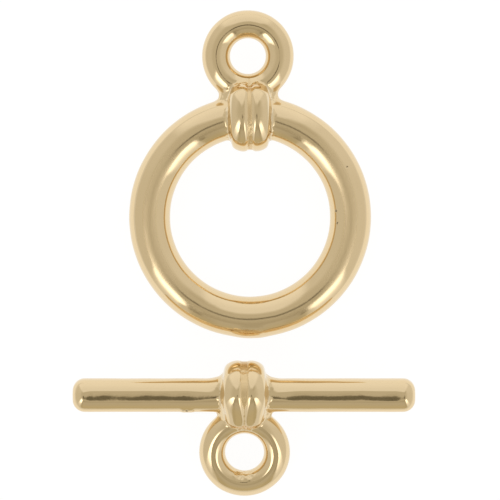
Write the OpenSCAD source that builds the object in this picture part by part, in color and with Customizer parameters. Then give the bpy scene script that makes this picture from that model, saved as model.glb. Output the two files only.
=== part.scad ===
// Toggle clasp: a ring half and a bar half, lying side by side on a flat surface.
// Millimetres, +Z up. +X runs along the bar and +Y from the bar half to the ring half.
// The origin is on the surface, under the middle of the two halves together.

/* [Ring] */
// Outside diameter of the ring
ring_od = 15; // [13:0.5:18]
// Thickness of the ring's round section
ring_section_d = 2.55; // [2.2:0.05:2.9]

/* [Bar] */
// Length of the bar over its rounded ends
bar_length = 21.2; // [17:0.2:26]
// Thickness of the bar's round section
bar_d = 2.05; // [1.7:0.05:2.4]
// Radius that rounds the edge of each bar end
bar_end_round = 0.75; // [0.3:0.05:0.8]

/* [Eye of the ring half] */
// Diameter of the eye's bore
ring_eye_bore_d = 2.2; // [1.8:0.1:3]
// Radial thickness of the metal round the bore
ring_eye_wall = 1.74; // [1.4:0.02:2]
// Metal left between the bore and the collar
ring_eye_bridge = 0.48; // [0.3:0.02:0.8]
// Concave radius where the eye flows into the ring
ring_web_fillet = 0.46; // [0.3:0.02:0.7]

/* [Eye of the bar half] */
// Diameter of the eye's bore
bar_eye_bore_d = 2.4; // [1.8:0.1:3]
// Radial thickness of the metal round the bore
bar_eye_wall = 1.62; // [1.4:0.02:2]
// Metal left between the bore and the collar
bar_eye_bridge = 0.26; // [0.1:0.02:0.6]
// Concave radius where the eye flows into the bar
bar_web_fillet = 0.28; // [0.16:0.02:0.4]

/* [Both eyes] */
// How far the bore's straight wall cuts into the eye's round section
bore_flat = 0.06; // [0.04:0.01:0.12]
// Thickness of the webs beside the eyes
web_t = 1.1; // [0.8:0.1:1.4]

/* [Collar of the ring half] */
// Outside diameter of the two wrapped turns
ring_collar_d = 4.32; // [4.1:0.02:4.8]
// Radius that each turn bulges with
ring_turn_r = 0.95; // [0.8:0.01:1.05]
// Distance between the crests of the two turns
ring_turn_pitch = 0.84; // [0.6:0.02:1.1]

/* [Collar of the bar half] */
// Outside diameter of the two wrapped turns
bar_collar_d = 4.28; // [3.9:0.02:4.8]
// Radius that each turn bulges with
bar_turn_r = 0.8; // [0.7:0.01:1]
// Distance between the crests of the two turns
bar_turn_pitch = 0.86; // [0.6:0.02:1.1]

/* [Both collars] */
// Concave radius where a collar flows into its ring or bar
collar_fillet = 0.3; // [0.2:0.02:0.4]

/* [How the halves lie] */
// Clear distance between the ring and the bar's collar
lay_gap = 1.4; // [0.5:0.1:6]
// How far the ring's centre lies to the right of the bar's middle
ring_shift = 0.38; // [-2:0.02:2]
// How far the ring half is turned where it lies
ring_turn = 0.77; // [-3:0.01:3]

/* [Hidden] */
$fn = 96;
gold = [0.86, 0.75, 0.53];

// Radii from each half's own middle: its centre line, and the reach of its collar
ring_section_r = ring_section_d / 2;
ring_line_r = ring_od / 2 - ring_section_r;
bar_r = bar_d / 2;
ring_collar_r = ring_collar_d / 2;
bar_collar_r = bar_collar_d / 2;

// Eyes: radius of the round section, radius of its centre line, and distance of the eye's centre
ring_eye_section_r = (ring_eye_wall + bore_flat) / 2;
ring_eye_line_r = ring_eye_bore_d / 2 - bore_flat + ring_eye_section_r;
ring_eye_y = ring_line_r + ring_collar_r + ring_eye_bridge + ring_eye_bore_d / 2;
bar_eye_section_r = (bar_eye_wall + bore_flat) / 2;
bar_eye_line_r = bar_eye_bore_d / 2 - bore_flat + bar_eye_section_r;
bar_eye_y = bar_collar_r + bar_eye_bridge + bar_eye_bore_d / 2;

// Each half rests on its collar, which is thicker than the rest, and on its far rim,
// so it lies tilted: the ring half is high at the collar, the bar half low at the eye
ring_tilt = asin((ring_collar_r - ring_section_r) / (2 * ring_line_r));
bar_tilt = asin((bar_collar_r - bar_eye_section_r) / (bar_eye_y + bar_eye_line_r));
ring_z = ring_section_r + ring_line_r * sin(ring_tilt);
bar_z = bar_collar_r;

// Reach of a circle of radius r along Y once it is tilted about X and turned about Z
function reach_y(r, tilt, turn) = r * norm([sin(turn), cos(turn) * cos(tilt)]);

// Half lengths along Y of the lying halves, from the ring's centre and from the bar's axis
ring_half_up = ring_eye_y * cos(ring_tilt) * cos(ring_turn)
    + reach_y(ring_eye_line_r, ring_tilt, ring_turn) + ring_eye_section_r;
ring_half_down = reach_y(ring_line_r, ring_tilt, ring_turn) + ring_section_r;
bar_half_down = bar_eye_y * cos(bar_tilt) + reach_y(bar_eye_line_r, bar_tilt, 0) + bar_eye_section_r;

// The two halves together are centred on the origin
centre_distance = ring_half_down + lay_gap + bar_collar_r;
lay_length = ring_half_up + centre_distance + bar_half_down;
bar_y = bar_half_down - lay_length / 2;
ring_y = bar_y + centre_distance;

// The plain ring, of round section about Z
module ring() {
    rotate_extrude()
        translate([ring_line_r, 0]) circle(r = ring_section_r);
}

// An eye about Z: a ring of round section whose bore has a short straight wall
module eye(bore_d, line_r, section_r) {
    rotate_extrude()
        difference() {
            translate([line_r, 0]) circle(r = section_r);
            translate([0, -section_r]) square([bore_d / 2, 2 * section_r]);
        }
}

// Half outline of the bar: X is the distance from its axis, Y runs along it
module bar_outline() {
    straight = bar_length / 2 - bar_end_round;
    translate([0, -bar_length / 2]) square([bar_r - bar_end_round, bar_length]);
    translate([0, -straight]) square([bar_r, 2 * straight]);
    for (end = [-1, 1])
        translate([bar_r - bar_end_round, end * straight]) circle(r = bar_end_round);
}

// Half outline of a collar on a round of radius core_r: two bulging turns with a V between
// them, and a concave flare at each side that runs out on the round
module collar_outline(collar_r, turn_r, pitch, core_r) {
    centre_r = collar_r - turn_r;
    crest_y = pitch / 2;
    flare_r = core_r + collar_fillet;
    flare_y = crest_y + sqrt(pow(turn_r + collar_fillet, 2) - pow(flare_r - centre_r, 2));
    difference() {
        polygon([[0, -flare_y], [flare_r, -flare_y], [centre_r, -crest_y],
                 [centre_r, crest_y], [flare_r, flare_y], [0, flare_y]]);
        for (side = [-1, 1])
            translate([flare_r, side * flare_y]) circle(r = collar_fillet);
    }
    for (side = [-1, 1])
        translate([centre_r, side * crest_y]) circle(r = turn_r);
}

// Turns an outline about the X axis, without what lies across the axis. The outline reaches
// no further than the given length from its origin
module turned_on_x(reach) {
    rotate([0, 90, 0])
        rotate_extrude()
            intersection() {
                children();
                translate([0, -reach]) square(2 * reach);
            }
}

// Web that joins an eye, centred on the Y axis at eye_y, to the body under it. Its outline
// runs from the body's middle, at foot_y, into the eye, with a concave fillet on each side
module web(eye_y, eye_line_r, foot_y, fillet_x, fillet_y, fillet_r) {
    linear_extrude(web_t, center = true)
        difference() {
            polygon([[-fillet_x, fillet_y], [-fillet_x, foot_y], [fillet_x, foot_y],
                     [fillet_x, fillet_y], [0, eye_y]]);
            translate([0, eye_y]) circle(r = eye_line_r);
            for (side = [-1, 1])
                translate([side * fillet_x, fillet_y]) circle(r = fillet_r);
        }
}

// The ring half, flat about its own centre with the eye towards +Y
module ring_half_flat() {
    // Each web fillet touches the ring's outer circle and the eye's
    to_ring = ring_od / 2 + ring_web_fillet;
    to_eye = ring_eye_line_r + ring_eye_section_r + ring_web_fillet;
    fillet_y = (pow(to_ring, 2) - pow(to_eye, 2) + pow(ring_eye_y, 2)) / (2 * ring_eye_y);
    fillet_x = sqrt(pow(to_ring, 2) - pow(fillet_y, 2));
    ring();
    translate([0, ring_line_r, 0])
        turned_on_x(ring_collar_d)
            collar_outline(ring_collar_r, ring_turn_r, ring_turn_pitch, ring_section_r);
    web(ring_eye_y, ring_eye_line_r, ring_line_r, fillet_x, fillet_y, ring_web_fillet);
    translate([0, ring_eye_y, 0])
        eye(ring_eye_bore_d, ring_eye_line_r, ring_eye_section_r);
}

// The bar half, flat about the bar's middle with the eye towards -Y
module bar_half_flat() {
    // Each web fillet touches the bar's edge and the eye's outer circle
    to_eye = bar_eye_line_r + bar_eye_section_r + bar_web_fillet;
    fillet_y = bar_r + bar_web_fillet;
    fillet_x = sqrt(pow(to_eye, 2) - pow(bar_eye_y - fillet_y, 2));
    turned_on_x(bar_length) {
        bar_outline();
        collar_outline(bar_collar_r, bar_turn_r, bar_turn_pitch, bar_r);
    }
    mirror([0, 1, 0]) {
        web(bar_eye_y, bar_eye_line_r, 0, fillet_x, fillet_y, bar_web_fillet);
        translate([0, bar_eye_y, 0])
            eye(bar_eye_bore_d, bar_eye_line_r, bar_eye_section_r);
    }
}

module ring_half() {
    color(gold)
        translate([ring_shift, ring_y, ring_z])
            rotate([ring_tilt, 0, ring_turn]) ring_half_flat();
}

module bar_half() {
    color(gold)
        translate([0, bar_y, bar_z])
            rotate([bar_tilt, 0, 0]) bar_half_flat();
}

ring_half();
bar_half();
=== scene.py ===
"""Looks of the toggle clasp: a ring half and a bar half, cast and gold plated, lying on white.

Both halves are worked out in millimetres, flat about their own middles, and are then laid down
where the CAD solids lie. Each is one casting, so each is one closed mesh.
"""

from __future__ import annotations

import enum
import functools
import logging
import math
from collections.abc import Callable
from dataclasses import dataclass

import bpy
import numpy as np
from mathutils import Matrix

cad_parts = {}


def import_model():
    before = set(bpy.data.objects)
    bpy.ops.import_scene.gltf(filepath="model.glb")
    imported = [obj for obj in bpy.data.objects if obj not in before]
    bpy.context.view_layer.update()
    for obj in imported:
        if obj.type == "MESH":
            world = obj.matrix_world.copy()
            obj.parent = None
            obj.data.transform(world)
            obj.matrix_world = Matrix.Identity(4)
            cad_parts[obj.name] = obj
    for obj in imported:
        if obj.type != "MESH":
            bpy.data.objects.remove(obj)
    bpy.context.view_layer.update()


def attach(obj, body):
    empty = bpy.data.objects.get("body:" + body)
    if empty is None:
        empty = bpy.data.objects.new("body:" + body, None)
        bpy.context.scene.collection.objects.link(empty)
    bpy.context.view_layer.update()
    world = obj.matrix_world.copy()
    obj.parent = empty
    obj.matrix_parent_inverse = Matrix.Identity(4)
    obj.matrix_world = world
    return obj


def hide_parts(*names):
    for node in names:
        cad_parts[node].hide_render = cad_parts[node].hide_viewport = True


LOG = logging.getLogger("toggle_clasp")
MM = 0.001
TINY = 1e-6
GOLDEN_ANGLE = 2.399963
GOLDEN_SHARE = 0.618034

Points = np.ndarray
Field = Callable[[Points], np.ndarray]
# Places at a collar: along what it is wrapped round, towards the eye, and upwards
Wrap = tuple[np.ndarray, np.ndarray, np.ndarray]
# Distances to the ring or bar, to the eye and to the collar
Parts = tuple[np.ndarray, np.ndarray, np.ndarray]
# Two values that something sets in between: none of it at the first, all of it at the second
Span = tuple[float, float]


class Half(enum.Enum):
    """The two halves of the clasp, by the name of the CAD node that each stands for."""

    RING = "ring_half"
    BAR = "bar_half"


class Axis(enum.Enum):
    """Axes by their place in a point."""

    X = 0
    Y = 1
    Z = 2


class Plating(enum.Enum):
    """What the mesh's attributes say of the plating and of the shade and sheen painted on it, each
    from 0 to 1, by their names.
    """

    RAW = "raw"
    FILM = "film"
    WEB = "web"
    WORN = "worn"


# Shape maths


def step(value: np.ndarray, low: float, high: float) -> np.ndarray:
    """Goes smoothly from 0 at low to 1 at high; high may be the smaller one."""
    t = np.clip((value - low) / (high - low), 0.0, 1.0)
    return t * t * (3.0 - 2.0 * t)


def flow(a: np.ndarray, b: np.ndarray, fillet: float) -> np.ndarray:
    """Joins two distances with a concave fillet where the surfaces meet.

    Args:
        a: Distance to the first form.
        b: Distance to the second form.
        fillet: Radius of the fillet.

    Returns:
        Distance to both forms as one casting.
    """
    u = np.maximum(fillet - a, 0.0)
    v = np.maximum(fillet - b, 0.0)
    return np.maximum(fillet, np.minimum(a, b)) - np.hypot(u, v)


def trim(a: np.ndarray, b: np.ndarray, edge: float) -> np.ndarray:
    """Keeps what lies inside both forms, with a rounded edge between them.

    Args:
        a: Distance to the first form.
        b: Distance to the second form.
        edge: Radius of the edge.

    Returns:
        Distance to what is left.
    """
    u = np.maximum(edge + a, 0.0)
    v = np.maximum(edge + b, 0.0)
    return np.minimum(-edge, np.maximum(a, b)) + np.hypot(u, v)


def near_both(a: np.ndarray, b: np.ndarray, reach: float) -> np.ndarray:
    """Gives 1 in the crease between two forms and 0 beyond the reach of it."""
    return step(np.maximum(np.abs(a), np.abs(b)), reach, 0.15 * reach)


@dataclass(frozen=True)
class Lie:
    """How one half lies: tilted about its own X, turned about Z, and moved to its place."""

    place: tuple[float, float, float]
    tilt: float
    turn: float = 0.0

    def matrix(self) -> np.ndarray:
        """Gives how the half is turned.

        Returns:
            The turn as a 3 by 3 matrix.
        """
        ct, st = math.cos(self.tilt), math.sin(self.tilt)
        cz, sz = math.cos(self.turn), math.sin(self.turn)
        about_x = np.array([[1, 0, 0], [0, ct, -st], [0, st, ct]])
        about_z = np.array([[cz, -sz, 0], [sz, cz, 0], [0, 0, 1]])
        return about_z @ about_x

    def laid(self, flat: Points) -> Points:
        """Moves points of the flat half to where it lies."""
        return flat @ self.matrix().T + np.array(self.place)

    def turned(self, vectors: Points) -> Points:
        """Turns directions of the flat half as it lies."""
        return vectors @ self.matrix().T


@dataclass(frozen=True)
class HandFinish:
    """The slight unevenness of a tumbled casting: low waves of many lengths and directions.

    Attributes:
        height: Height of the longest waves, in millimetres.
        shortest: Shortest wavelength.
        longest: Longest wavelength.
        waves: Number of waves that are added up.
        falloff: Power with which the height falls with the wavelength.
        phase: How far each wave is shifted from the one before it, in radians.
    """

    height: float = 0.0016
    shortest: float = 0.9
    longest: float = 3.6
    waves: int = 14
    falloff: float = 0.7
    phase: float = 1.7

    def at(self, p: Points) -> np.ndarray:
        """Gives the height of the waves at points.

        Args:
            p: Points of the flat half, one a row.

        Returns:
            Height in millimetres at each point.
        """
        total = np.zeros(len(p))
        for i in range(self.waves):
            up = 1.0 - 2.0 * (i + 0.5) / self.waves
            heading = GOLDEN_ANGLE * i
            out = math.sqrt(1.0 - up * up)
            way = np.array([out * math.cos(heading), out * math.sin(heading), up])
            length = self.shortest * (self.longest / self.shortest) ** ((i * GOLDEN_SHARE) % 1.0)
            share = (length / self.longest) ** self.falloff
            total += np.sin((p @ way) * (2.0 * math.pi / length) + self.phase * i) * share
        return self.height * total


@dataclass(frozen=True)
class Eye:
    """A small round eye for a jump ring, of round section.

    Attributes:
        bore: Radius of its hole.
        wall: Radial thickness of the metal round the hole.
        centre: Distance of its centre from the half's own middle, towards plus or minus Y.
        aside: How far its centre sits towards plus X.
        inset: How far its crest lies inside the middle of the wall.
        lean: How much its upper side leans towards minus Y, in radians.
        leans: Heights between which the lean sets in, in radii of its section.
        oval: How much further its wall lies from its centre along Y than across.
        hollow: Distance from its centre within which its shape doesn't matter.
    """

    bore: float
    wall: float
    centre: float
    aside: float = 0.0
    inset: float = 0.0
    lean: float = 0.0
    leans: Span = (-0.6, 0.4)
    oval: float = 0.0
    hollow: float = 0.2

    def distance(self, p: Points) -> np.ndarray:
        """Gives the distance to the eye.

        Args:
            p: Points of the flat half, one a row.

        Returns:
            Distance at each point, below zero inside.
        """
        section = self.wall / 2.0
        x, y = p[:, 0] - self.aside, p[:, 1] - self.centre
        away = np.hypot(x, y)
        low, high = self.leans
        around = away - (self.bore + section) - self.oval * (y / np.maximum(away, self.hollow)) ** 2
        up = p[:, 2] - self.lean * y * step(p[:, 2], low * section, high * section)
        side = np.clip(around / section, -1.0, 1.0)
        around = around + self.inset * (1.0 - side**2)
        return np.hypot(around, up) - section


@dataclass(frozen=True)
class Arc:
    """One arc of an outline.

    Attributes:
        start: Angle of the outline's normal where the arc starts, in degrees from straight up,
            counted towards the eye.
        radius: Radius of the arc.
    """

    start: float
    radius: float


@dataclass(frozen=True)
class Outline:
    """A rounded section, seen along a bar or along the ring: arcs that run into one another.

    The arcs go over the upper half, from the side away from the eye to the side of the eye. The
    lower half is their mirror image.

    Attributes:
        centre: Centre of the first arc: its distance towards the eye, and upwards.
        arcs: The arcs, in order; the first one starts at -90 degrees.
    """

    centre: tuple[float, float]
    arcs: tuple[Arc, ...]

    def distance(self, out: np.ndarray, up: np.ndarray) -> np.ndarray:
        """Gives the distance to the outline.

        Args:
            out: Distance from the middle towards the eye.
            up: Distance from the middle upwards.

        Returns:
            Distance at each point, below zero inside.
        """
        up = np.abs(up)
        cx, cy = self.centre
        radius = self.arcs[0].radius
        found = np.hypot(out - cx, np.maximum(up - cy, 0.0)) - radius
        for arc in self.arcs[1:]:
            angle = math.radians(arc.start)
            cx += (radius - arc.radius) * math.sin(angle)
            cy += (radius - arc.radius) * math.cos(angle)
            radius = arc.radius
            here = np.hypot(out - cx, np.maximum(up - cy, 0.0)) - radius
            found = np.where(np.arctan2(out - cx, np.maximum(up - cy, 1e-9)) >= angle, here, found)
        return found


@dataclass(frozen=True)
class Collar:
    """Two wrapped turns round a bar or round the ring, cast in one with it.

    Each turn is a low crest: a wide shoulder on the outer side, a tighter flank below it that runs
    into a straight wall, and a roll on the inner side. Between the turns lies a flat groove, which
    may close to a fine crease on the side of the eye.

    Attributes:
        outline: Section over the crests.
        reach: Radius that the crests are measured with.
        crest: Distance of each crest from the middle of the collar.
        shoulder: Radius of the shoulder.
        flank: Radius of the flank.
        inner: Radius of the roll on the inner side.
        groove: Half the width of the groove.
        depth: Depth of the groove.
        closes: Angles between which the groove closes, in degrees towards the eye.
        aside: How far the collar sits towards plus X.
        bend: Angle at which the shoulder passes into the flank.
        wall: Angle at which the flank passes into the wall.
        lip: Angle at which the roll on the inner side runs out into the groove.
        narrowing: How much narrower the collar is on the side away from the eye than on its top.
        gather: How much narrower it is on the side of the eye.
        drawn: How far the crests draw together towards the eye.
        draws: Angles between which they draw together, in degrees towards the eye.
        closed: Share of the groove's width that its closing takes.
        core_depth: Depth under the crests below which the collar is solid all through.
        core_reach: How far that solid core reaches past each crest, in radii of the shoulder.
        core_value: Distance that the core has at the least.
        film: How far inside the walls' foot the painted sheen starts, and how far inside it is
            full.
    """

    outline: Outline
    reach: float
    crest: float
    shoulder: float
    flank: float
    inner: float
    groove: float
    depth: float
    closes: Span
    aside: float = 0.0
    bend: float = math.radians(31.0)
    wall: float = math.radians(74.0)
    lip: float = math.radians(30.0)
    narrowing: float = 0.08
    gather: float = 0.08
    drawn: float = 0.0
    draws: Span = (-12.0, 42.0)
    closed: float = 0.93
    core_depth: float = 1.05
    core_reach: float = 0.6
    core_value: float = -0.4
    film: Span = (0.2, 0.02)

    @staticmethod
    def _towards_eye(out: np.ndarray, up: np.ndarray) -> np.ndarray:
        """Gives the angle of a place on the upper half, in degrees from straight up."""
        return np.degrees(np.arctan2(out, np.maximum(np.abs(up), TINY)))

    def _crests(self, angle: np.ndarray) -> np.ndarray:
        """Gives how far each crest lies from the middle, at angles in degrees towards the eye."""
        return self.crest - self.drawn * step(angle, *self.draws)

    def _turn(self, out: np.ndarray, rho: np.ndarray) -> np.ndarray:
        """Gives the distance to the turn on the plus side.

        Args:
            out: Distance from the turn's crest, away from the groove.
            rho: Distance from the wrapped axis, as it would be on a round collar.

        Returns:
            Distance at each place.
        """
        top = rho - (self.reach - self.shoulder)
        shoulder = np.hypot(out, top) - self.shoulder
        roll = rho - (self.reach - self.inner)
        slope = -out * math.sin(self.lip) + roll * math.cos(self.lip)
        tight = np.arctan2(-out, roll) < self.lip
        inward = np.where(tight, np.hypot(out, roll), slope) - self.inner
        gap = self.shoulder - self.flank
        foot_x = out - gap * math.sin(self.bend)
        foot_r = top - gap * math.cos(self.bend)
        angle = np.arctan2(foot_x, foot_r)
        flank = np.hypot(foot_x, foot_r) - self.flank
        wall = foot_x * math.sin(self.wall) + foot_r * math.cos(self.wall) - self.flank
        outer = np.where(angle > self.bend, np.where(angle > self.wall, wall, flank), shoulder)
        return np.where(out < 0.0, inward, outer)

    def _across(self, wrap: Wrap) -> tuple[np.ndarray, np.ndarray]:
        """Gives the place across the collar as on its top, and the angle towards the eye.

        Args:
            wrap: Places at the collar.

        Returns:
            Distance from the middle as it would be on the top, and the angle in degrees.
        """
        x, out, up = wrap
        sideways = out / np.maximum(np.hypot(out, up), TINY)
        narrow = np.where(out > 0.0, self.gather, self.narrowing) * sideways**2
        return np.abs(x - self.aside) / (1.0 - narrow), self._towards_eye(out, up)

    def walls(self, wrap: Wrap) -> np.ndarray:
        """Gives 1 low on the steep outer walls and 0 on the crests.

        Args:
            wrap: Places at the collar.

        Returns:
            From 0 to 1 at each point.
        """
        along, angle = self._across(wrap)
        foot = (self.shoulder - self.flank) * math.sin(self.bend) + self.flank * math.sin(self.wall)
        start, full = self.film
        return step(along - self._crests(angle), foot - start, foot - full)

    def _half_groove(self, angle: np.ndarray) -> np.ndarray:
        """Gives half the width of the groove, at angles in degrees towards the eye."""
        low, high = self.closes
        return self.groove * (1.0 - np.clip((angle - low) / (high - low), 0.0, self.closed))

    def _floor(self, away: np.ndarray) -> np.ndarray:
        """Gives the depth of the groove's floor.

        Args:
            away: How far the edge of the floor lies from the crests.

        Returns:
            Depth under the crests.
        """
        bend = self.inner * math.sin(self.lip)
        roll = self.inner - np.sqrt(self.inner**2 - np.minimum(away, bend) ** 2)
        return roll + np.maximum(away - bend, 0.0) * math.tan(self.lip) + self.depth

    def distance(self, wrap: Wrap) -> np.ndarray:
        """Gives the distance to the collar.

        Args:
            wrap: Places at the collar.

        Returns:
            Distance at each point.
        """
        rho = self.reach + self.outline.distance(*wrap[1:])
        along, angle = self._across(wrap)
        crest = self._crests(angle)
        turns = self._turn(along - crest, rho)
        ground = rho - (self.reach - self._floor(crest - self._half_groove(angle)))
        turns = np.where(along < crest, np.minimum(turns, ground), turns)
        core = along - (crest + self.core_reach * self.shoulder)
        deep = rho < self.reach - self.core_depth
        return np.where(deep, np.maximum(core, self.core_value), turns)

    def valley_floor(self, wrap: Wrap) -> np.ndarray:
        """Gives 1 on the floor of the groove and 0 beyond it.

        Args:
            wrap: Places at the collar.

        Returns:
            From 0 to 1 at each point.
        """
        x, out, up = wrap
        off = np.abs(self.outline.distance(out, up))
        half = self._half_groove(self._towards_eye(out, up))
        blend, outer, inner = 0.03, 0.35, 0.25
        return step(np.abs(x - self.aside), half + blend, half - blend) * step(off, outer, inner)


def stations(
    low: float, high: float, pitch: float, fine: tuple[float, float] | None = None
) -> np.ndarray:
    """Spaces the grid along one axis.

    Args:
        low: Where the grid starts.
        high: Where it ends.
        pitch: Distance between stations where nothing finer is asked for.
        fine: How far a finer stretch reaches to both sides of zero, and its pitch.

    Returns:
        The stations, in order.
    """
    samples, blend = 4001, 0.6
    at = np.linspace(low, high, samples)
    wanted = np.full(at.shape, pitch)
    if fine:
        reach, finer = fine
        away = step(np.abs(at), reach, reach + blend)
        wanted = np.minimum(wanted, finer + (pitch - finer) * away)
    steps = np.concatenate([[0.0], np.cumsum(np.diff(at) * 2.0 / (wanted[1:] + wanted[:-1]))])
    return np.interp(np.linspace(0.0, steps[-1], math.ceil(steps[-1]) + 1), steps, at)


class Former:
    """Turns a field of distances into a closed mesh of quads that lie on its surface.

    Attributes:
        NUDGE: Half the step that gradients are taken over, in millimetres.
        EASE: Share of the way that a vertex moves towards its neighbours in one round.
    """

    NUDGE = 1e-3
    EASE = 0.6

    def __init__(self, distance: Field, grid: tuple[np.ndarray, np.ndarray, np.ndarray]) -> None:
        """Keeps the field and the stations of the grid along the three axes, in millimetres."""
        self.distance = distance
        self.grid = grid

    def _values(self) -> np.ndarray:
        """Works the field out, one layer of X at a time.

        Returns:
            The field at every point of the grid.
        """
        x, y, z = self.grid
        yy, zz = np.meshgrid(y, z, indexing="ij")
        layer = np.column_stack([np.zeros(yy.size), yy.ravel(), zz.ravel()])
        values = np.empty((len(x), len(y), len(z)))
        for i, station in enumerate(x):
            layer[:, 0] = station
            values[i] = self.distance(layer).reshape(yy.shape)
        return values

    def gradient(self, p: Points) -> Points:
        """Gives the way in which the distance grows, by small steps both ways.

        Args:
            p: Points of the flat half, one a row.

        Returns:
            The field's gradient at each point.
        """
        grown = []
        for axis in Axis:
            shift = np.zeros(3)
            shift[axis.value] = self.NUDGE
            grown.append((self.distance(p + shift) - self.distance(p - shift)) / (2.0 * self.NUDGE))
        return np.column_stack(grown)

    def settled(self, p: Points, rounds: int = 3) -> Points:
        """Moves points onto the surface along the gradient.

        Args:
            p: Points of the flat half, one a row.
            rounds: How often they move.

        Returns:
            The moved points.
        """
        for _ in range(rounds):
            g = self.gradient(p)
            p = p - g * (self.distance(p) / np.maximum((g * g).sum(1), TINY))[:, None]
        return p

    @staticmethod
    def _crossed(values: np.ndarray, axis: Axis) -> tuple[np.ndarray, Points]:
        """Finds where the surface crosses the grid's edges along one axis.

        Args:
            values: The field at every point of the grid.
            axis: Axis of the edges.

        Returns:
            For each crossing, the numbers of the four cells round it, so that their quad faces
            outwards, and its place in steps of the grid.
        """
        inside = values < 0.0
        a = axis.value
        b, c = (a + 1) % 3, (a + 2) % 3
        lower, upper = [slice(None)] * 3, [slice(None)] * 3
        lower[a], upper[a] = slice(0, -1), slice(1, None)
        at = np.argwhere(inside[tuple(lower)] != inside[tuple(upper)])
        past = at.copy()
        past[:, a] += 1
        here = values[tuple(at.T)]
        place = at.astype(float)
        place[:, a] += here / (here - values[tuple(past.T)])
        strides = np.array([values.shape[1] * values.shape[2], values.shape[2], 1])
        quads = np.empty((len(at), 4), np.int64)
        for k, (back_b, back_c) in enumerate(((1, 1), (0, 1), (0, 0), (1, 0))):
            cell = at.copy()
            cell[:, b] -= back_b
            cell[:, c] -= back_c
            quads[:, k] = cell @ strides
        inward = ~inside[tuple(at.T)]
        quads[inward] = quads[inward][:, ::-1]
        return quads, place

    def _net(self, values: np.ndarray) -> tuple[Points, np.ndarray]:
        """Finds one vertex for each cell that the surface crosses, and the quads between them.

        Args:
            values: The field at every point of the grid.

        Returns:
            The vertices, each at the mean of its cell's crossings, and the quads' four corners.
        """
        crossed = [self._crossed(values, axis) for axis in Axis]
        cells = np.concatenate([quads for quads, _ in crossed])
        places = np.repeat(np.concatenate([place for _, place in crossed]), 4, axis=0)
        used, corner = np.unique(cells.ravel(), return_inverse=True)
        shares = np.bincount(corner, minlength=len(used)).astype(float)
        points = np.empty((len(used), 3))
        for k, line in enumerate(self.grid):
            mean = np.bincount(corner, places[:, k], minlength=len(used)) / shares
            points[:, k] = np.interp(mean, np.arange(len(line)), line)
        return points, corner.reshape(-1, 4)

    def _evened(self, p: Points, quads: np.ndarray, rounds: int) -> Points:
        """Evens out the quads: vertices move towards their neighbours and back onto the surface.

        Args:
            p: The vertices.
            quads: The quads' four corners.
            rounds: How often the vertices move.

        Returns:
            The moved vertices.
        """
        start = quads.T.ravel()
        stop = np.roll(quads, -1, axis=1).T.ravel()
        shares = np.bincount(start, minlength=len(p)).astype(float)[:, None]
        for _ in range(rounds):
            sums = [np.bincount(start, p[stop, axis.value], minlength=len(p)) for axis in Axis]
            p = self.settled(p + self.EASE * (np.column_stack(sums) / shares - p), 1)
        return p

    def mesh(self, name: str, lie: Lie) -> tuple[bpy.types.Mesh, Points]:
        """Makes the mesh where the half lies, in metres, with exact normals.

        Args:
            name: Name of the mesh.
            lie: How the half lies.

        Returns:
            The mesh, and its vertices in the flat half's millimetres.
        """
        points, quads = self._net(self._values())
        points = self.settled(self._evened(self.settled(points, rounds=2), quads, rounds=4))
        normals = self.gradient(points)
        normals /= np.linalg.norm(normals, axis=1)[:, None]
        laid = lie.laid(points) * MM
        mesh = bpy.data.meshes.new(name)
        mesh.vertices.add(len(laid))
        mesh.vertices.foreach_set("co", laid.astype(np.float32).ravel())
        mesh.loops.add(quads.size)
        mesh.loops.foreach_set("vertex_index", quads.astype(np.int32).ravel())
        mesh.polygons.add(len(quads))
        mesh.polygons.foreach_set("loop_start", np.arange(0, quads.size, 4, dtype=np.int32))
        mesh.polygons.foreach_set("use_smooth", np.ones(len(quads), bool))
        mesh.update(calc_edges=True)
        mesh.validate()
        mesh.normals_split_custom_set_from_vertices(lie.turned(normals).astype(np.float32))
        return mesh, points


# Shader maths


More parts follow.
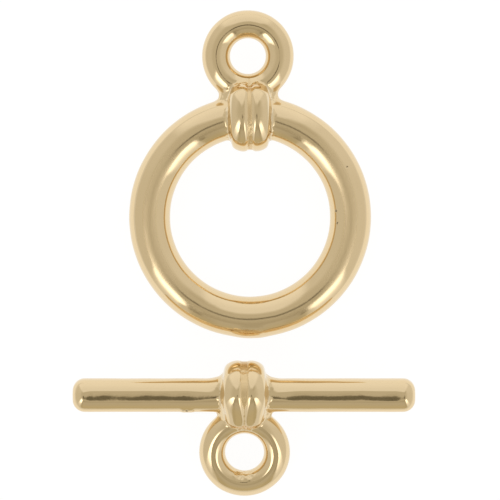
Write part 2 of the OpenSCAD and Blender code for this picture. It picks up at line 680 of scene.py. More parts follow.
class Signal:
    """A shader value that ordinary arithmetic works on; each operation adds a Math node."""

    def __init__(self, shop: Shop, socket: bpy.types.NodeSocket) -> None:
        """Wraps one output socket of the shop's tree."""
        self.shop = shop
        self.socket = socket

    def _math(self, operation: str, *values: Signal | float) -> Signal:
        """Adds one Math node with this operation on the values."""
        node = self.shop.node("ShaderNodeMath", {"operation": operation}, dict(enumerate(values)))
        return Signal(self.shop, node.outputs[0])

    def __add__(self, other: Signal | float) -> Signal:
        """Adds."""
        return self._math("ADD", self, other)

    __radd__ = __add__

    def __sub__(self, other: Signal | float) -> Signal:
        """Takes away."""
        return self._math("SUBTRACT", self, other)

    def __rsub__(self, other: float) -> Signal:
        """Takes this away from a number."""
        return self._math("SUBTRACT", other, self)

    def __mul__(self, other: Signal | float) -> Signal:
        """Multiplies."""
        return self._math("MULTIPLY", self, other)

    __rmul__ = __mul__

    def __abs__(self) -> Signal:
        """Drops the sign."""
        return self._math("ABSOLUTE", self)

    def __neg__(self) -> Signal:
        """Turns the sign round."""
        return self * -1.0

    def most(self, other: Signal | float) -> Signal:
        """Gives the larger of two values."""
        return self._math("MAXIMUM", self, other)

    def least(self, other: Signal | float) -> Signal:
        """Gives the smaller of two values."""
        return self._math("MINIMUM", self, other)

    def angle_from(self, other: Signal) -> Signal:
        """Gives the angle of this value over the other one, in degrees."""
        return self._math("ARCTAN2", self, other) * (180.0 / math.pi)

    def arc_cosine(self) -> Signal:
        """Gives the angle in degrees that has this cosine."""
        return self._math("ARCCOSINE", self) * (180.0 / math.pi)

    def ramp(self, low: float, high: float) -> Signal:
        """Goes smoothly from 0 to 1.

        Args:
            low: Value that gives 0.
            high: Value that gives 1; it may be the smaller one.

        Returns:
            From 0 to 1.
        """
        lower, upper = (low, high) if low < high else (high, low)
        node = self.shop.node(
            "ShaderNodeMapRange",
            {"interpolation_type": "SMOOTHSTEP"},
            {"Value": self, "From Min": lower, "From Max": upper, "To Min": 0.0, "To Max": 1.0},
        )
        risen = Signal(self.shop, node.outputs["Result"])
        return risen if low < high else 1.0 - risen


class Shop:
    """Adds nodes to one shader tree."""

    def __init__(self, tree: bpy.types.NodeTree) -> None:
        """Empties the tree."""
        self.tree = tree
        tree.nodes.clear()

    def node(
        self,
        kind: str,
        settings: dict[str, object] | None = None,
        inputs: dict[str | int, object] | None = None,
    ) -> bpy.types.Node:
        """Adds a node.

        Args:
            kind: Type of the node.
            settings: Its properties, set before its sockets.
            inputs: Values or links of its input sockets, by name or by place.

        Returns:
            The node.
        """
        node = self.tree.nodes.new(kind)
        for key, value in (settings or {}).items():
            setattr(node, key, value)
        for key, value in (inputs or {}).items():
            socket = node.inputs[key]
            if isinstance(value, Signal):
                self.tree.links.new(value.socket, socket)
            elif isinstance(value, bpy.types.NodeSocket):
                self.tree.links.new(value, socket)
            else:
                socket.default_value = value
        return node

    def mixed(self, part: Signal | float, a: object, b: object) -> bpy.types.NodeSocket:
        """Mixes two colours.

        Args:
            part: How much of the second colour there is, from 0 to 1.
            a: First colour, as three numbers or a socket.
            b: Second colour.

        Returns:
            The mixed colour's socket.
        """
        a, b = ((*value, 1.0) if isinstance(value, tuple) else value for value in (a, b))
        return self.node("ShaderNodeMix", {"data_type": "RGBA"}, {0: part, 6: a, 7: b}).outputs[2]

    def noise(self, where: bpy.types.NodeSocket, scale: float, detail: float = 2.0) -> Signal:
        """Adds noise of a scale, in lumps a millimetre, and gives its value from 0 to 1."""
        inputs = {"Vector": where, "Scale": scale, "Detail": detail, "Roughness": 0.5}
        return Signal(self, self.node("ShaderNodeTexNoise", {}, inputs).outputs[0])

    def plating(self, kind: Plating) -> Signal:
        """Reads what one of the mesh's attributes says of the plating."""
        node = self.node("ShaderNodeAttribute", {"attribute_name": kind.value})
        return Signal(self, node.outputs["Fac"])

    def split(self, vector: bpy.types.NodeSocket) -> list[Signal]:
        """Splits a vector into X, Y and Z."""
        node = self.node("ShaderNodeSeparateXYZ", {}, {0: vector})
        return [Signal(self, output) for output in node.outputs]


@dataclass(frozen=True)
class Mark:
    """One small casting fault: a dark pit in the plating.

    Attributes:
        place: Its centre on the lying clasp, in millimetres.
        size: Its radius.
        bottom: Share of that within which it is at its deepest.
    """

    place: tuple[float, float, float]
    size: float
    bottom: float = 0.3


@dataclass(frozen=True)
class GoldPlate:
    """Polished pale gold plating on a casting, with shade painted into its creases and sheen
    painted on its collars' walls.

    Attributes:
        marks: Small faults of this casting; there is at least one.
        colour: Colour of the polished plating.
        deep: Deeper, more orange gold: the clouds mix it in at random, and it is painted into the
            groove and creases as their shade and warm reflection.
        pale: Paler gold painted low on the collars' walls as a sheen, in place of the pale
            reflection there.
        pit: Colour in the bottom of a mark.
        tinted: How much the clouds in the polish deepen the colour.
        stained: How much of a mark's colour shows.
        patchy: How much the grain breaks up the raw places.
        polish: Roughness of the polished plating.
        satin: Roughness in the valleys and creases.
        clouded: Roughness that the clouds add.
        clear: Value of the clouds below which they add none.
        worn: Roughness that handling has added on the crests.
        pitted: Roughness that a mark adds.
        cloud_scale: Scale of the clouds in the polish, in lumps a millimetre.
        grain_scale: Scale of the grain.
        pitting_scale: Scale of the pitting at the webs.
        detail: Detail of the grain and the pitting.
        grain_depth: Depth of the grain where the plating is polished, in millimetres.
        raw_depth: How much deeper the grain is where the plating is raw.
        pitting_depth: Depth of the pitting.
        mark_depth: Depth of a mark.
    """

    marks: tuple[Mark, ...]
    colour: tuple[float, float, float] = (0.80, 0.63, 0.383)
    deep: tuple[float, float, float] = (0.79, 0.595, 0.33)
    pale: tuple[float, float, float] = (0.80, 0.665, 0.445)
    pit: tuple[float, float, float] = (0.12, 0.08, 0.04)
    tinted: float = 0.5
    stained: float = 0.75
    patchy: float = 0.5
    polish: float = 0.07
    satin: float = 0.36
    clouded: float = 0.05
    clear: float = 0.35
    worn: float = 0.25
    pitted: float = 0.4
    cloud_scale: float = 0.45
    grain_scale: float = 5.5
    pitting_scale: float = 9.0
    detail: float = 3.0
    grain_depth: float = 0.0012
    raw_depth: float = 0.006
    pitting_depth: float = 0.030
    mark_depth: float = 0.03

    def material(self, name: str) -> bpy.types.Material:
        """Builds the finish.

        Args:
            name: Name of the material.

        Returns:
            A material that reads from the mesh's attributes where the plating differs, and where
            shade and sheen are painted on it.
        """
        material = bpy.data.materials.new(name)
        material.use_nodes = True
        shop = Shop(material.node_tree)
        coordinates = shop.node("ShaderNodeTexCoord").outputs["Object"]
        inputs = {"Vector": coordinates, "Scale": 1.0 / MM}
        where = shop.node("ShaderNodeVectorMath", {"operation": "SCALE"}, inputs).outputs["Vector"]
        raw, film, web, worn = (shop.plating(kind) for kind in Plating)
        cloud = shop.noise(where, self.cloud_scale)
        grain = shop.noise(where, self.grain_scale, self.detail)
        pitting = shop.noise(where, self.pitting_scale, self.detail)
        pits = self._pits(shop, where)
        rawness = (raw * (1.0 - self.patchy / 2.0 + self.patchy * grain)).least(1.0)
        # Painted shade: the raw groove and creases take the deeper gold, as their shade and warm
        # reflection.
        colour = shop.mixed(rawness, self.colour, self.deep)
        # Painted sheen: paler gold low on the collars' walls, standing in for a pale reflection
        # there.
        colour = shop.mixed(film, colour, self.pale)
        colour = shop.mixed((cloud - 0.5) * self.tinted, colour, self.deep)
        colour = shop.mixed(pits * self.stained, colour, self.pit)
        dull = self.clouded * (cloud - self.clear).most(0.0)
        roughness = self.polish + dull + rawness * (self.satin - self.polish)
        roughness = roughness + pits * self.pitted + worn * self.worn
        relief = pitting * web * self.pitting_depth
        relief = relief + grain * (self.grain_depth + raw * self.raw_depth)
        relief = relief - pits * self.mark_depth
        bump = shop.node("ShaderNodeBump", {}, {"Strength": 1.0, "Distance": MM, "Height": relief})
        look = {
            "Base Color": colour,
            "Metallic": 1.0,
            "Roughness": roughness,
            "Normal": bump.outputs["Normal"],
        }
        shader = shop.node("ShaderNodeBsdfPrincipled", {}, look)
        shop.node("ShaderNodeOutputMaterial", {}, {"Surface": shader.outputs[0]})
        return material

    def _pits(self, shop: Shop, where: bpy.types.NodeSocket) -> Signal:
        """Finds the marks.

        Args:
            shop: Where the nodes are added.
            where: Place on the clasp, in millimetres.

        Returns:
            1 in the middle of each mark and 0 outside them.
        """
        spots = []
        for mark in self.marks:
            ends = {0: where, 1: mark.place}
            gap = shop.node("ShaderNodeVectorMath", {"operation": "DISTANCE"}, ends)
            away = Signal(shop, gap.outputs["Value"])
            spots.append(away.ramp(mark.size, mark.bottom * mark.size))
        return functools.reduce(Signal.most, spots)


@dataclass
class Casting:
    """What both halves share: how a cast half becomes a dressed object where its solid lies.

    Attributes:
        half: The CAD node that the half stands for.
        web_fillet: Fillet between the eye and the ring or bar.
        web_pitting: Reach of the pitting in the crease there.
        web_crease: Reach of the rough crease there.
        web_rough: How rough that crease is, from 0 to 1.
        collar_fillet: Fillet between the collar and the rest.
        groove_raw: How raw the plating is in the collar's groove, from 0 to 1: rougher, and painted
            a deeper shade.
        seam_raw: How raw it is in the crease at the collar's foot: rougher, and painted a deeper
            shade.
        trace_height: How far the trace of the cut sprue stands proud.
        eye: The eye.
        collar: The collar.
        marks: Small faults in the plating.
        pitch: Distance between the grid's stations.
        groove_pitch: The same at the collar's groove.
        groove_reach: How far that finer stretch reaches to both sides.
        seam: Reach of the raw crease at the collar's foot.
        foot: Reach of the rough crease there.
        film: Distances from the collar's own surface between which the painted sheen on it sets in.
        finish: Unevenness all over.
        creases: Unevenness in the creases.
    """

    half: Half
    web_fillet: float
    web_pitting: float
    web_crease: float
    web_rough: float
    collar_fillet: float
    groove_raw: float
    seam_raw: float
    trace_height: float
    eye: Eye
    collar: Collar
    marks: tuple[Mark, ...]
    pitch: float = 0.085
    groove_pitch: float = 0.035
    groove_reach: float = 0.55
    seam: float = 0.26
    foot: float = 0.34
    film: Span = (0.14, 0.05)
    finish: HandFinish = HandFinish()
    creases: HandFinish = HandFinish(height=0.009, shortest=0.24, longest=0.62, waves=11)

    def lie(self) -> Lie:
        """Gives how the half lies."""
        raise NotImplementedError

    def grid(self) -> tuple[np.ndarray, np.ndarray, np.ndarray]:
        """Gives the stations of the grid round the flat half."""
        raise NotImplementedError

    def wrap(self, p: Points) -> Wrap:
        """Gives where points of the flat half lie at the collar."""
        raise NotImplementedError

    def parts(self, p: Points) -> Parts:
        """Gives the distances of points to the half's parts."""
        raise NotImplementedError

    def rough(self, p: Points) -> np.ndarray:
        """Gives how rough the half is away from its creases, from 0 to 1."""
        raise NotImplementedError

    def pitted(self, p: Points) -> np.ndarray:
        """Gives how pitted the half is away from its webs, from 0 to 1."""
        raise NotImplementedError

    def worn(self, p: Points) -> np.ndarray:
        """Gives how worn the plating is, from 0 to 1; a half that says nothing isn't worn."""
        return np.zeros(len(p))

    def rough_foot(self, p: Points) -> np.ndarray:
        """Gives how rough the crease at the collar's foot is, from 0 to 1."""
        return np.ones(len(p))

    def distance(self, p: Points) -> np.ndarray:
        """Gives the distance of points to the flat half."""
        body, eye, collar = self.parts(p)
        return flow(flow(body, eye, self.web_fillet), collar, self.collar_fillet)

    def _at_foot(self, parts: Parts, reach: float) -> np.ndarray:
        """Gives 1 in the crease at the collar's foot and 0 beyond the reach of it."""
        body, eye, collar = parts
        return near_both(flow(body, eye, self.web_fillet), collar, reach)

    def _rough_zone(self, p: Points) -> np.ndarray:
        """Finds what the hand finish doesn't reach.

        Args:
            p: Points of the flat half, one a row.

        Returns:
            1 in the creases and on rough patches and 0 away from them.
        """
        parts = self.parts(p)
        foot = self._at_foot(parts, self.foot) * self.rough_foot(p)
        web = self.web_rough * near_both(*parts[:2], self.web_crease)
        return np.maximum(np.maximum(foot, web), self.rough(p))

    def _unevenness(self, p: Points) -> np.ndarray:
        """Gives how far the finish stands proud: long waves all over, short ones at the creases."""
        return self.finish.at(p) + self.creases.at(p) * self._rough_zone(p)

    def _surface(self, p: Points) -> dict[Plating, np.ndarray]:
        """Describes the plating.

        Args:
            p: Points of the flat half, one a row.

        Returns:
            From 0 to 1, how raw it is in the groove and creases, which also gives their painted
            shade, how much painted sheen it has on the collar's walls, how pitted it is, and how
            worn on the crests.
        """
        parts, wrap = self.parts(p), self.wrap(p)
        groove = self.groove_raw * self.collar.valley_floor(wrap)
        # The raw groove and creases also carry painted shade, and the mask on the collars' walls
        # carries painted sheen.
        return {
            Plating.RAW: np.maximum(groove, self.seam_raw * self._at_foot(parts, self.seam)),
            Plating.FILM: self.collar.walls(wrap) * step(np.abs(parts[2]), *self.film),
            Plating.WEB: np.maximum(near_both(*parts[:2], self.web_pitting), self.pitted(p)),
            Plating.WORN: self.worn(p),
        }

    def _thick_stations(self) -> np.ndarray:
        """Gives the stations of the grid along Z."""
        thick = self.collar.reach + 0.25
        return stations(-thick, thick, self.pitch)

    def build(self) -> bpy.types.Object:
        """Builds the half.

        Returns:
            The object, riding on the clasp and standing for its CAD node.
        """
        name = self.half.value + "_casting"
        former = Former(lambda p: self.distance(p) - self._unevenness(p), self.grid())
        mesh, flat = former.mesh(name, self.lie())
        for kind, values in self._surface(flat).items():
            attribute = mesh.attributes.new(kind.value, "FLOAT", "POINT")
            attribute.data.foreach_set("value", values.astype(np.float32))
        piece = bpy.data.objects.new(name, mesh)
        bpy.context.scene.collection.objects.link(piece)
        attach(piece, "root")
        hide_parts(self.half.value)
        LOG.info("%s: %d faces", piece.name, len(mesh.polygons))
        return piece

    def dress(self, piece: bpy.types.Object) -> None:
        """Gives the piece its plating."""
        piece.data.materials.append(GoldPlate(self.marks).material(self.half.value + "_gold"))


@dataclass
class RingHalf(Casting):
    """The plain round ring with its collar, webs and eye, flat with the eye towards plus Y.

    Attributes:
        outside: Outside diameter of the ring.
        section: Diameter of its round section.
        skew: How much its section leans, in radians.
        shift: How far the ring's middle lies towards plus X.
        centre_y: Where its middle lies along Y.
        turn: How far the half is turned about Z.
        lower: Where the part of the groove away from the eye begins, counted towards the eye.
        lower_pitted: How pitted that part is, from 0 to 1.
        far_side: Where along Y the side of the ring away from the collar begins.
        sprue_side: How far to either side the trace of the cut sprue goes.
        sprue_out: How far outside the ring's centre line it begins.
        scar_side: How far to either side the pitting at that trace goes.
        scar_line: Distance of the pitting from the ring's middle.
        scar_wide: How far it goes to both sides of that.
        scar_up: Where upwards it begins.
        scar_pitted: How pitted it is, from 0 to 1.
        worn_wide: How far the worn crest goes to both sides of the ring's centre line.
        worn_up: Where upwards the worn crest begins.
        worn_sides: Where the ring is worn the most, as the sine of the angle from the collar.
        worn_least: How worn the crest is elsewhere, from 0 to 1.
    """

    half: Half = Half.RING
    web_fillet: float = 0.75
    web_pitting: float = 0.42
    web_crease: float = 0.75
    web_rough: float = 0.8
    collar_fillet: float = 0.22
    groove_raw: float = 0.9
    seam_raw: float = 0.4
    trace_height: float = 0.05
    eye: Eye = Eye(bore=1.1, wall=1.74, centre=9.965)
    collar: Collar = Collar(
        outline=Outline((-0.39, 0.2744), (Arc(-90.0, 1.76), Arc(-25.0, 3.1), Arc(16.0, 1.45))),
        reach=2.16,
        crest=0.42,
        shoulder=1.2,
        flank=0.42,
        inner=0.45,
        groove=0.135,
        depth=0.022,
        closes=(60.0, 80.0),
        aside=0.06,
    )
    marks: tuple[Mark, ...] = (
        Mark((5.70, 2.63, 2.65), 0.13),
        Mark((5.76, 1.88, 2.66), 0.11),
        Mark((6.38, 5.35, 3.10), 0.09),
    )
    outside: float = 15.0
    section: float = 2.55
    skew: float = 0.023
    shift: float = 0.38
    centre_y: float = 2.25836
    turn: float = math.radians(0.77)
    lower: Span = (0.0, -0.2)
    lower_pitted: float = 0.6
    far_side: Span = (-5.0, -6.0)
    sprue_side: Span = (1.35, 0.4)
    sprue_out: Span = (0.35, 1.0)
    scar_side: Span = (0.95, 0.6)
    scar_line: float = 7.0
    scar_wide: Span = (0.32, 0.12)
    scar_up: Span = (0.2, 0.4)
    scar_pitted: float = 0.45
    worn_wide: Span = (0.55, 0.25)
    worn_up: Span = (0.9, 1.1)
    worn_sides: Span = (0.62, 0.88)
    worn_least: float = 0.25

    @property
    def line(self) -> float:
        """Radius of the ring's centre line."""
        return (self.outside - self.section) / 2.0

    def lie(self) -> Lie:
        """Tilts the ring so that it rests on its collar and on its far rim.

        Returns:
            How the half lies.
        """
        tilt = math.asin((self.collar.reach - self.section / 2.0) / (2.0 * self.line))
        height = self.section / 2.0 + self.line * math.sin(tilt)
        return Lie((self.shift, self.centre_y, height), tilt, self.turn)

    def grid(self) -> tuple[np.ndarray, np.ndarray, np.ndarray]:
        """Spaces the grid round the flat ring half, finer along X at the groove.

        Returns:
            The stations along X, Y and Z.
        """
        margin = 0.3
        side = self.outside / 2.0 + margin
        top = self.eye.centre + self.eye.bore + self.eye.wall + margin
        across = stations(-side, side, self.pitch, (self.groove_reach, self.groove_pitch))
        return across, stations(-side, top, self.pitch), self._thick_stations()

    def wrap(self, p: Points) -> Wrap:
        """Gives where points of the flat half lie at the collar."""
        return p[:, 0], p[:, 1] - self.line, p[:, 2]

    def parts(self, p: Points) -> Parts:
        """Gives the distances to the ring, to the eye and to the collar.

        Args:
            p: Points of the flat half, one a row.

        Returns:
            The three distances at each point.
        """
        away = np.hypot(p[:, 0], p[:, 1])
        around = away - self.line
        up = p[:, 2] + self.skew * around * p[:, 1] / np.maximum(away, TINY)
        ring = np.hypot(around, up) - self.section / 2.0
        ring = ring - self.trace_height * self._trace(p, around)
        return ring, self.eye.distance(p), self.collar.distance(self.wrap(p))

    def _trace(self, p: Points, around: np.ndarray) -> np.ndarray:
        """Gives 1 where the main sprue was cut from the ring's far rim and 0 away from it."""
        trace = step(np.abs(p[:, 0]), *self.sprue_side) * step(around, *self.sprue_out)
        return trace * step(p[:, 1], *self.far_side)

    def rough(self, p: Points) -> np.ndarray:
        """Gives 1 in the part of the groove away from the eye and 0 elsewhere."""
        wrap = self.wrap(p)
        return self.collar.valley_floor(wrap) * step(wrap[1], *self.lower)

    def pitted(self, p: Points) -> np.ndarray:
        """Gives the pitting in the groove away from the eye and at the trace of the sprue.

        Args:
            p: Points of the flat half, one a row.

        Returns:
            How pitted each point is, from 0 to 1.
        """
        off = np.abs(np.hypot(p[:, 0], p[:, 1]) - self.scar_line)
        scar = step(np.abs(p[:, 0]), *self.scar_side) * step(off, *self.scar_wide)
        scar = scar * step(p[:, 1], *self.far_side) * step(p[:, 2], *self.scar_up)
        return np.maximum(self.lower_pitted * self.rough(p), self.scar_pitted * scar)

    def worn(self, p: Points) -> np.ndarray:
        """Gives the wear along the ring's crest, which is strongest at both sides.

        Args:
            p: Points of the flat half, one a row.

        Returns:
            How worn each point is, from 0 to 1.
        """
        away = np.hypot(p[:, 0], p[:, 1])
        crest = step(np.abs(away - self.line), *self.worn_wide) * step(p[:, 2], *self.worn_up)
        sides = step(np.abs(p[:, 0]) / np.maximum(away, TINY), *self.worn_sides)
        return crest * (self.worn_least + (1.0 - self.worn_least) * sides)


@dataclass
class BarHalf(Casting):
    """The straight bar with its collar, webs and eye, flat with the eye towards minus Y.

    Attributes:
        length: Length of the bar.
        thickness: Its thickness.
        end_round: Radius that rounds the edge of each end.
        flare: How far the bar swells behind its collar.
        flare_run: How far along the bar the swelling goes.
        flare_back: Where along Y it begins.
        centre_y: Where the bar lies along Y.
        outline: Section of the bar.
        facet_angle: How far the faint flat on top is turned away from straight up.
        facet_depth: Depth of that flat.
        facet_radius: Radius that it is rounded with.
        facet_edge: Radius of its edges.
        facet_run: Where along the bar it runs out towards the collar.
        facet_tip: How far from the bar's ends it runs out there.
        facet_rise: How many times its depth it is raised by at the ends.
        floor_edge: Radius of the edge where the collar stands on the table.
        bore_flat: How far the bore's straight wall cuts into the eye's section.
        crease_reach: How far the grid's finer stretch along Y reaches to both sides.
        sprue: Where along X the sprue was cut from the bar.
        sprue_side: How far to either side of that its trace goes.
        sprue_low: Where along Y the trace begins.
        sprue_pitted: How pitted the trace is, from 0 to 1.
        rim_wall: How far outside the bore the rough patch inside the eye goes.
        rim_side: How far to either side it goes.
        rim_low: Where along Y it begins, from the eye's centre.
        rim_up: Where upwards it begins.
        rim_pitted: How pitted it is, from 0 to 1.
        groove_eye: Where along Y the rough end of the groove at the eye begins.
        groove_back: Where its rough end behind begins.
        groove_stop: Where that end stops.
        foot_back: Where along Y the crease at the collar's foot is less rough.
        foot_less: By how much it is less rough there.
    """

    half: Half = Half.BAR
    web_fillet: float = 0.52
    web_pitting: float = 0.36
    web_crease: float = 0.5
    web_rough: float = 1.0
    collar_fillet: float = 0.27
    groove_raw: float = 1.0
    seam_raw: float = 0.5
    trace_height: float = 0.04
    eye: Eye = Eye(bore=1.2, wall=1.62, centre=-3.64, aside=0.04, inset=0.08, lean=0.08, oval=0.04)
    collar: Collar = Collar(
        outline=Outline(
            (0.06, 0.028),
            (
                Arc(-90.0, 2.2),
                Arc(-58.5, 1.95),
                Arc(-10.5, 1.0),
                Arc(0.3, 2.5),
                Arc(20.0, 7.0),
                Arc(29.7, 0.35),
            ),
        ),
        reach=2.14,
        crest=0.43,
        shoulder=1.3,
        flank=0.60,
        inner=0.45,
        groove=0.25,
        depth=0.03,
        closes=(-6.0, 16.0),
        aside=0.03,
        gather=0.06,
        drawn=0.15,
    )
    marks: tuple[Mark, ...] = (Mark((-3.53, -9.70, 2.69), 0.12), Mark((-3.75, -9.68, 2.69), 0.09))
    pitch: float = 0.08
    length: float = 21.2
    thickness: float = 2.05
    end_round: float = 0.75
    flare: float = 0.17
    flare_run: Span = (2.6, 1.3)
    flare_back: Span = (0.35, 0.95)
    centre_y: float = -8.76589
    outline: Outline = Outline(
        (-0.225, 0.0864), (Arc(-90.0, 0.80), Arc(-56.0, 1.131), Arc(32.0, 0.73))
    )
    facet_angle: float = math.radians(11.5)
    facet_depth: float = 0.036
    facet_radius: float = 4.5
    facet_edge: float = 0.012
    facet_run: Span = (3.6, 1.1)
    facet_tip: float = 1.3
    facet_rise: float = 1.4
    floor_edge: float = 0.05
    bore_flat: float = 0.06
    crease_reach: float = 0.42
    sprue: float = -3.5
    sprue_side: Span = (0.52, 0.2)
    sprue_low: Span = (-0.6, -0.9)
    sprue_pitted: float = 0.7
    rim_wall: Span = (0.6, 0.3)
    rim_side: Span = (0.85, 0.35)
    rim_low: Span = (-0.8, -1.05)
    rim_up: Span = (-0.1, 0.1)
    rim_pitted: float = 0.8
    groove_eye: Span = (-0.5, -1.0)
    groove_back: Span = (1.1, 1.4)
    groove_stop: Span = (1.95, 1.75)
    foot_back: Span = (0.3, 0.8)
    foot_less: float = 0.5

    def lie(self) -> Lie:
        """Tilts the bar half so that it rests on its collar and on its eye's far rim.

        Returns:
            How the half lies.
        """
        section = self.eye.wall / 2.0 + self.bore_flat / 2.0
        far = -self.eye.centre + self.eye.bore - self.bore_flat + section
        tilt = math.asin((self.collar.reach - section) / far)
        return Lie((0.0, self.centre_y, self.collar.reach), tilt)

    def grid(self) -> tuple[np.ndarray, np.ndarray, np.ndarray]:
        """Spaces the grid round the flat bar half, finer at the groove and along the bar.

        Returns:
            The stations along X, Y and Z.
        """
        margin = 0.25
        side = self.length / 2.0 + margin
        bottom = self.eye.centre - self.eye.bore - self.eye.wall - margin
        thick = self._thick_stations()
        across = stations(-side, side, self.pitch, (self.groove_reach, self.groove_pitch))
        fine = (self.crease_reach, self.groove_pitch)
        return across, stations(bottom, thick[-1], self.pitch, fine), thick

    def wrap(self, p: Points) -> Wrap:
        """Gives where points of the flat half lie at the collar."""
        return p[:, 0], -p[:, 1], p[:, 2]

    def _bar(self, p: Points) -> np.ndarray:
        """Gives the distance to the bar: its rounded ends, the flat, the trace, the swelling.

        Args:
            p: Points of the flat half, one a row.

        Returns:
            Distance at each point.
        """
        radius, end, run = self.thickness / 2.0, self.length / 2.0, np.abs(p[:, 0])
        rho = radius + self.outline.distance(-p[:, 1], p[:, 2])
        out_x = run - (end - self.end_round)
        out_r = rho - (radius - self.end_round)
        bar = np.hypot(np.maximum(out_x, 0.0), np.maximum(out_r, 0.0))
        bar = bar + np.minimum(np.maximum(out_x, out_r), 0.0) - self.end_round
        back = self.facet_radius - (radius - self.facet_depth)
        facet_y = p[:, 1] + back * math.sin(self.facet_angle)
        facet_z = p[:, 2] + back * math.cos(self.facet_angle)
        facet = np.hypot(facet_y, facet_z) - self.facet_radius
        fade = step(run, *self.facet_run) + self.facet_rise * step(run, end - self.facet_tip, end)
        bar = trim(bar, facet - self.facet_depth * fade, self.facet_edge)
        bar = bar - self.trace_height * self._trace(p)
        return bar - self.flare * step(run, *self.flare_run) ** 2 * step(p[:, 1], *self.flare_back)

    def parts(self, p: Points) -> Parts:
        """Gives the distances to the bar, to the eye and to the collar.

        Args:
            p: Points of the flat half, one a row.

        Returns:
            The three distances at each point; the collar is trimmed where it stands on the table.
        """
        table = -(self.lie().laid(p)[:, 2])
        collar = trim(self.collar.distance(self.wrap(p)), table, self.floor_edge)
        return self._bar(p), self.eye.distance(p), collar

    def _trace(self, p: Points) -> np.ndarray:
        """Gives 1 where a casting sprue was cut from the bar's edge and 0 away from it."""
        side = step(np.abs(p[:, 0] - self.sprue), *self.sprue_side)
        return side * step(p[:, 1], *self.sprue_low)

    def _rim(self, p: Points) -> np.ndarray:
        """Finds the rough patch low inside the eye.

        Args:
            p: Points of the flat half, one a row.

        Returns:
            1 on the patch and 0 away from it.
        """
        y, (outer, inner) = p[:, 1] - self.eye.centre, self.rim_wall
        inside = step(np.hypot(p[:, 0], y), self.eye.bore + outer, self.eye.bore + inner)
        inside = inside * step(np.abs(p[:, 0]), *self.rim_side) * step(y, *self.rim_low)
        return inside * step(p[:, 2], *self.rim_up)

    def rough(self, p: Points) -> np.ndarray:
        """Gives the rough ends of the groove and the rough patch inside the eye.

        Args:
            p: Points of the flat half, one a row.

        Returns:
            How rough each point is, from 0 to 1.
        """
        y = p[:, 1]
        ends = step(y, *self.groove_eye) + step(y, *self.groove_back) * step(y, *self.groove_stop)
        return np.maximum(self.collar.valley_floor(self.wrap(p)) * ends, self._rim(p))

    def rough_foot(self, p: Points) -> np.ndarray:
        """Gives how rough the crease at the collar's foot is, from 0 to 1."""
        return 1.0 - self.foot_less * step(p[:, 1], *self.foot_back)

    def pitted(self, p: Points) -> np.ndarray:
        """Gives how pitted the sprue's trace and the patch inside the eye are, from 0 to 1."""
        return self.sprue_pitted * self._trace(p) + self.rim_pitted * self._rim(p)


@dataclass(frozen=True)
class Sky:
    """Where a ray meets the tent, as shader values.

    Attributes:
        x: How far its direction points towards plus X.
        y: The same towards plus Y.
        polar: Its angle from straight up, in degrees.
        around: Its angle from minus Y to either side, in degrees.
        left: 1 on the side of minus X and 0 on the other.
        right: 1 on the side of plus X and 0 on the other.
    """

    x: Signal
    y: Signal
    polar: Signal
    around: Signal
    left: Signal
    right: Signal


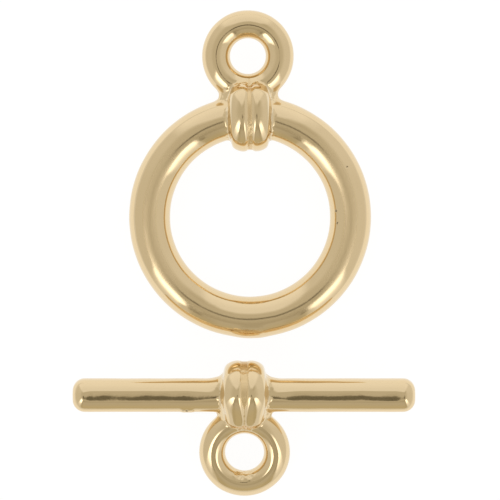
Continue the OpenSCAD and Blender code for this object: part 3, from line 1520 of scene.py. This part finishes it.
@dataclass(frozen=True)
class Studio:
    """A white table under a light tent, with two lamps in front and the camera straight above.

    Attributes:
        aim: Where the camera looks, in millimetres, as the next two.
        distance: Distance of the camera above that.
        width: Width of the view there.
        side: Half the side of the table, in metres.
        tone: Colour of the table, as a grey.
        turns_grey: How far from the middle the table's white ends, in metres.
        near_glow: Brightness of the table at the clasp.
        far_glow: Share of that further off.
        seen: Brightness of the tent as the camera sees it.
        wall: Brightness of the tent's walls, as the next five.
        back: The bright back.
        front: The shade between the lamps.
        border: The darker strips beside that shade.
        lamp: The lamps, low down.
        lens: The camera's dark round front.
        lens_place: Where the middle of that front is, as a direction's X and Y.
        lens_edge: Its edge, as a square of the distance from there.
        dark_tint: Tint of the tent where it is dark.
        low_tint: Tint low in the front.
    """

    aim: tuple[float, float, float] = (0.375, 0.21, 1.9)
    distance: float = 300.0
    width: float = 30.965
    side: float = 2.0
    tone: float = 0.12
    turns_grey: Span = (0.0165, 0.026)
    near_glow: float = 0.93
    far_glow: float = 0.76
    seen: float = 0.97
    wall: float = 0.59
    back: float = 0.90
    front: float = 0.545
    border: float = 0.32
    lamp: float = 0.86
    lens: float = 0.15
    lens_place: tuple[float, float] = (0.01, -0.162)
    lens_edge: Span = (0.0054, 0.0040)
    dark_tint: tuple[float, float, float] = (1.08, 1.0, 0.76)
    low_tint: tuple[float, float, float] = (1.13, 1.0, 0.62)

    def camera(self) -> None:
        """Adds the camera, looking straight down with plus Y up in the picture."""
        data = bpy.data.cameras.new("camera")
        data.sensor_fit = "HORIZONTAL"
        data.angle = 2.0 * math.atan(self.width / 2.0 / self.distance)
        data.clip_start = 0.01
        data.clip_end = 20.0
        camera = bpy.data.objects.new("camera", data)
        camera.location = (self.aim[0] * MM, self.aim[1] * MM, (self.aim[2] + self.distance) * MM)
        bpy.context.scene.collection.objects.link(camera)
        bpy.context.scene.camera = camera

    def table(self) -> None:
        """Adds the white table that the clasp lies on, light grey further off."""
        side, white = self.side, (1.0, 1.0, 1.0)
        mesh = bpy.data.meshes.new("table")
        rim = [(-side, -side, 0.0), (side, -side, 0.0), (side, side, 0.0), (-side, side, 0.0)]
        mesh.from_pydata(rim, [], [(0, 1, 2, 3)])
        material = bpy.data.materials.new("table_white")
        material.use_nodes = True
        shop = Shop(material.node_tree)
        x, y, _ = shop.split(shop.node("ShaderNodeTexCoord").outputs["Object"])
        far = abs(x).most(-y).ramp(*self.turns_grey)
        look = {
            "Base Color": (self.tone, self.tone, self.tone, 1.0),
            "Roughness": 1.0,
            "Specular IOR Level": 0.0,
            "Emission Color": shop.mixed(far, white, (self.far_glow,) * 3),
            "Emission Strength": self.near_glow,
        }
        shader = shop.node("ShaderNodeBsdfPrincipled", {}, look)
        shop.node("ShaderNodeOutputMaterial", {}, {"Surface": shader.outputs[0]})
        mesh.materials.append(material)
        table = bpy.data.objects.new("table", mesh)
        bpy.context.scene.collection.objects.link(table)

    @staticmethod
    def _over(light: Signal, mask: Signal, level: Signal | float) -> Signal:
        """Lays one light over another where its mask is 1."""
        return light + mask * (level - light)

    def _walls(self, sky: Sky) -> Signal:
        """Lights the walls, brighter low, behind and on the right, with a dip high behind there.

        Args:
            sky: Where a ray meets the tent.

        Returns:
            Their light.
        """
        behind = sky.around.ramp(100.0, 124.0) * sky.polar.ramp(26.0, 52.0)
        light = self.wall + 0.10 * sky.polar.ramp(20.0, 48.0) + 0.06 * sky.x.ramp(0.1, 0.7)
        light = light + behind * (0.035 + 0.015 * sky.right)
        dip = sky.around.ramp(122.0, 133.0) * sky.polar.ramp(10.0, 22.0)
        return light - 0.06 * (dip * sky.polar.ramp(46.0, 30.0) * sky.right)

    def _back(self, sky: Sky) -> tuple[Signal, Signal]:
        """Lights the bright back, which starts further round on the right and where it is high.

        Args:
            sky: Where a ray meets the tent.

        Returns:
            1 where it is and 0 beyond it, and its light.
        """
        closing = sky.around - 8.0 * sky.polar.ramp(46.0, 22.0) - 6.0 * sky.right
        mask = closing.ramp(132.0, 145.0) * sky.polar.ramp(13.0, 27.0)
        return mask, self.back + 0.10 * sky.polar.ramp(35.0, 80.0)

    def _front(self, sky: Sky) -> tuple[Signal, Signal]:
        """Lights the shade between the lamps, with a darker strip beside each lamp.

        Args:
            sky: Where a ray meets the tent.

        Returns:
            1 where it is and 0 beyond it, and its light.
        """
        polar, around = sky.polar, sky.around
        shade = self.front - 0.045 * around.ramp(13.0, 20.0)
        shade = shade - 0.04 * polar.ramp(20.0, 25.0) * polar.ramp(46.0, 38.0)
        shade = shade - 0.045 * polar.ramp(29.0, 34.0) * polar.ramp(46.0, 40.0)
        border = around.ramp(23.0, 24.5) * polar.ramp(28.0, 33.0) * polar.ramp(60.0, 54.0)
        return around.ramp(30.0, 27.0), self._over(shade, border, self.border)

    def _lamps(self, sky: Sky) -> tuple[Signal, Signal]:
        """Lights the two lamps, which are strongest above and differ a little.

        Args:
            sky: Where a ray meets the tent.

        Returns:
            1 where they are and 0 beyond them, and their light.
        """
        polar, around, left, right = sky.polar, sky.around, sky.left, sky.right
        inner = around - polar.ramp(48.0, 66.0) * (2.0 + 3.0 * left)
        mask = inner.ramp(28.5, 32.5) * (around + 1.8 * right).ramp(57.5, 50.0)
        mask = mask * (polar - 3.0 * right + 1.5 * left).ramp(24.5, 36.0)
        light = self.lamp + 0.25 * polar.ramp(86.0, 60.0)
        light = light + (0.95 + 0.3 * left) * polar.ramp(69.0, 42.0)
        return mask, light - 0.08 * left * polar.ramp(60.0, 74.0)

    def _lens(self, sky: Sky) -> Signal:
        """Gives 1 where the camera's round front is and 0 beyond it."""
        x, y = sky.x - self.lens_place[0], sky.y - self.lens_place[1]
        return (x * x + y * y).ramp(*self.lens_edge)

    def tent(self) -> None:
        """Lights the scene from all round, a little warm where the tent is dark."""
        world = bpy.data.worlds.new("tent")
        bpy.context.scene.world = world
        world.use_nodes = True
        shop = Shop(world.node_tree)
        x, y, z = shop.split(shop.node("ShaderNodeTexCoord").outputs["Generated"])
        polar, around = z.most(-1.0).least(1.0).arc_cosine(), abs(x.angle_from(-y))
        left = x.ramp(0.02, -0.02)
        sky = Sky(x, y, polar, around, left, 1.0 - left)
        front, shade = self._front(sky)
        light = self._over(self._walls(sky), *self._back(sky))
        light = self._over(light, front, shade)
        light = self._over(light, *self._lamps(sky))
        light = self._over(light, self._lens(sky), self.lens)
        white, low = (1.0, 1.0, 1.0), front * polar.ramp(50.0, 82.0)
        warm = shop.mixed(light.ramp(self.lens, 1.0), self.dark_tint, white)
        warm = shop.mixed(low * 0.5, warm, self.low_tint)
        sees = Signal(shop, shop.node("ShaderNodeLightPath").outputs["Is Camera Ray"])
        look = {
            "Color": shop.mixed(sees, warm, white),
            "Strength": self._over(light, sees, self.seen),
        }
        background = shop.node("ShaderNodeBackground", {}, look)
        shop.node("ShaderNodeOutputWorld", {}, {"Surface": background.outputs[0]})

    def build(self) -> None:
        """Sets the whole studio up."""
        self.camera()
        self.table()
        self.tent()
        bpy.context.scene.view_settings.view_transform = "Standard"
        bpy.context.scene.view_settings.look = "None"
        LOG.info("studio: camera %.0f mm above the table", self.distance)


def main() -> None:
    """Builds the clasp and the studio, and reports each piece."""
    logging.basicConfig(level=logging.INFO, format="%(name)s: %(message)s")
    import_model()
    for half in (RingHalf(), BarHalf()):
        half.dress(half.build())
    Studio().build()


if __name__ == "__main__":
    main()
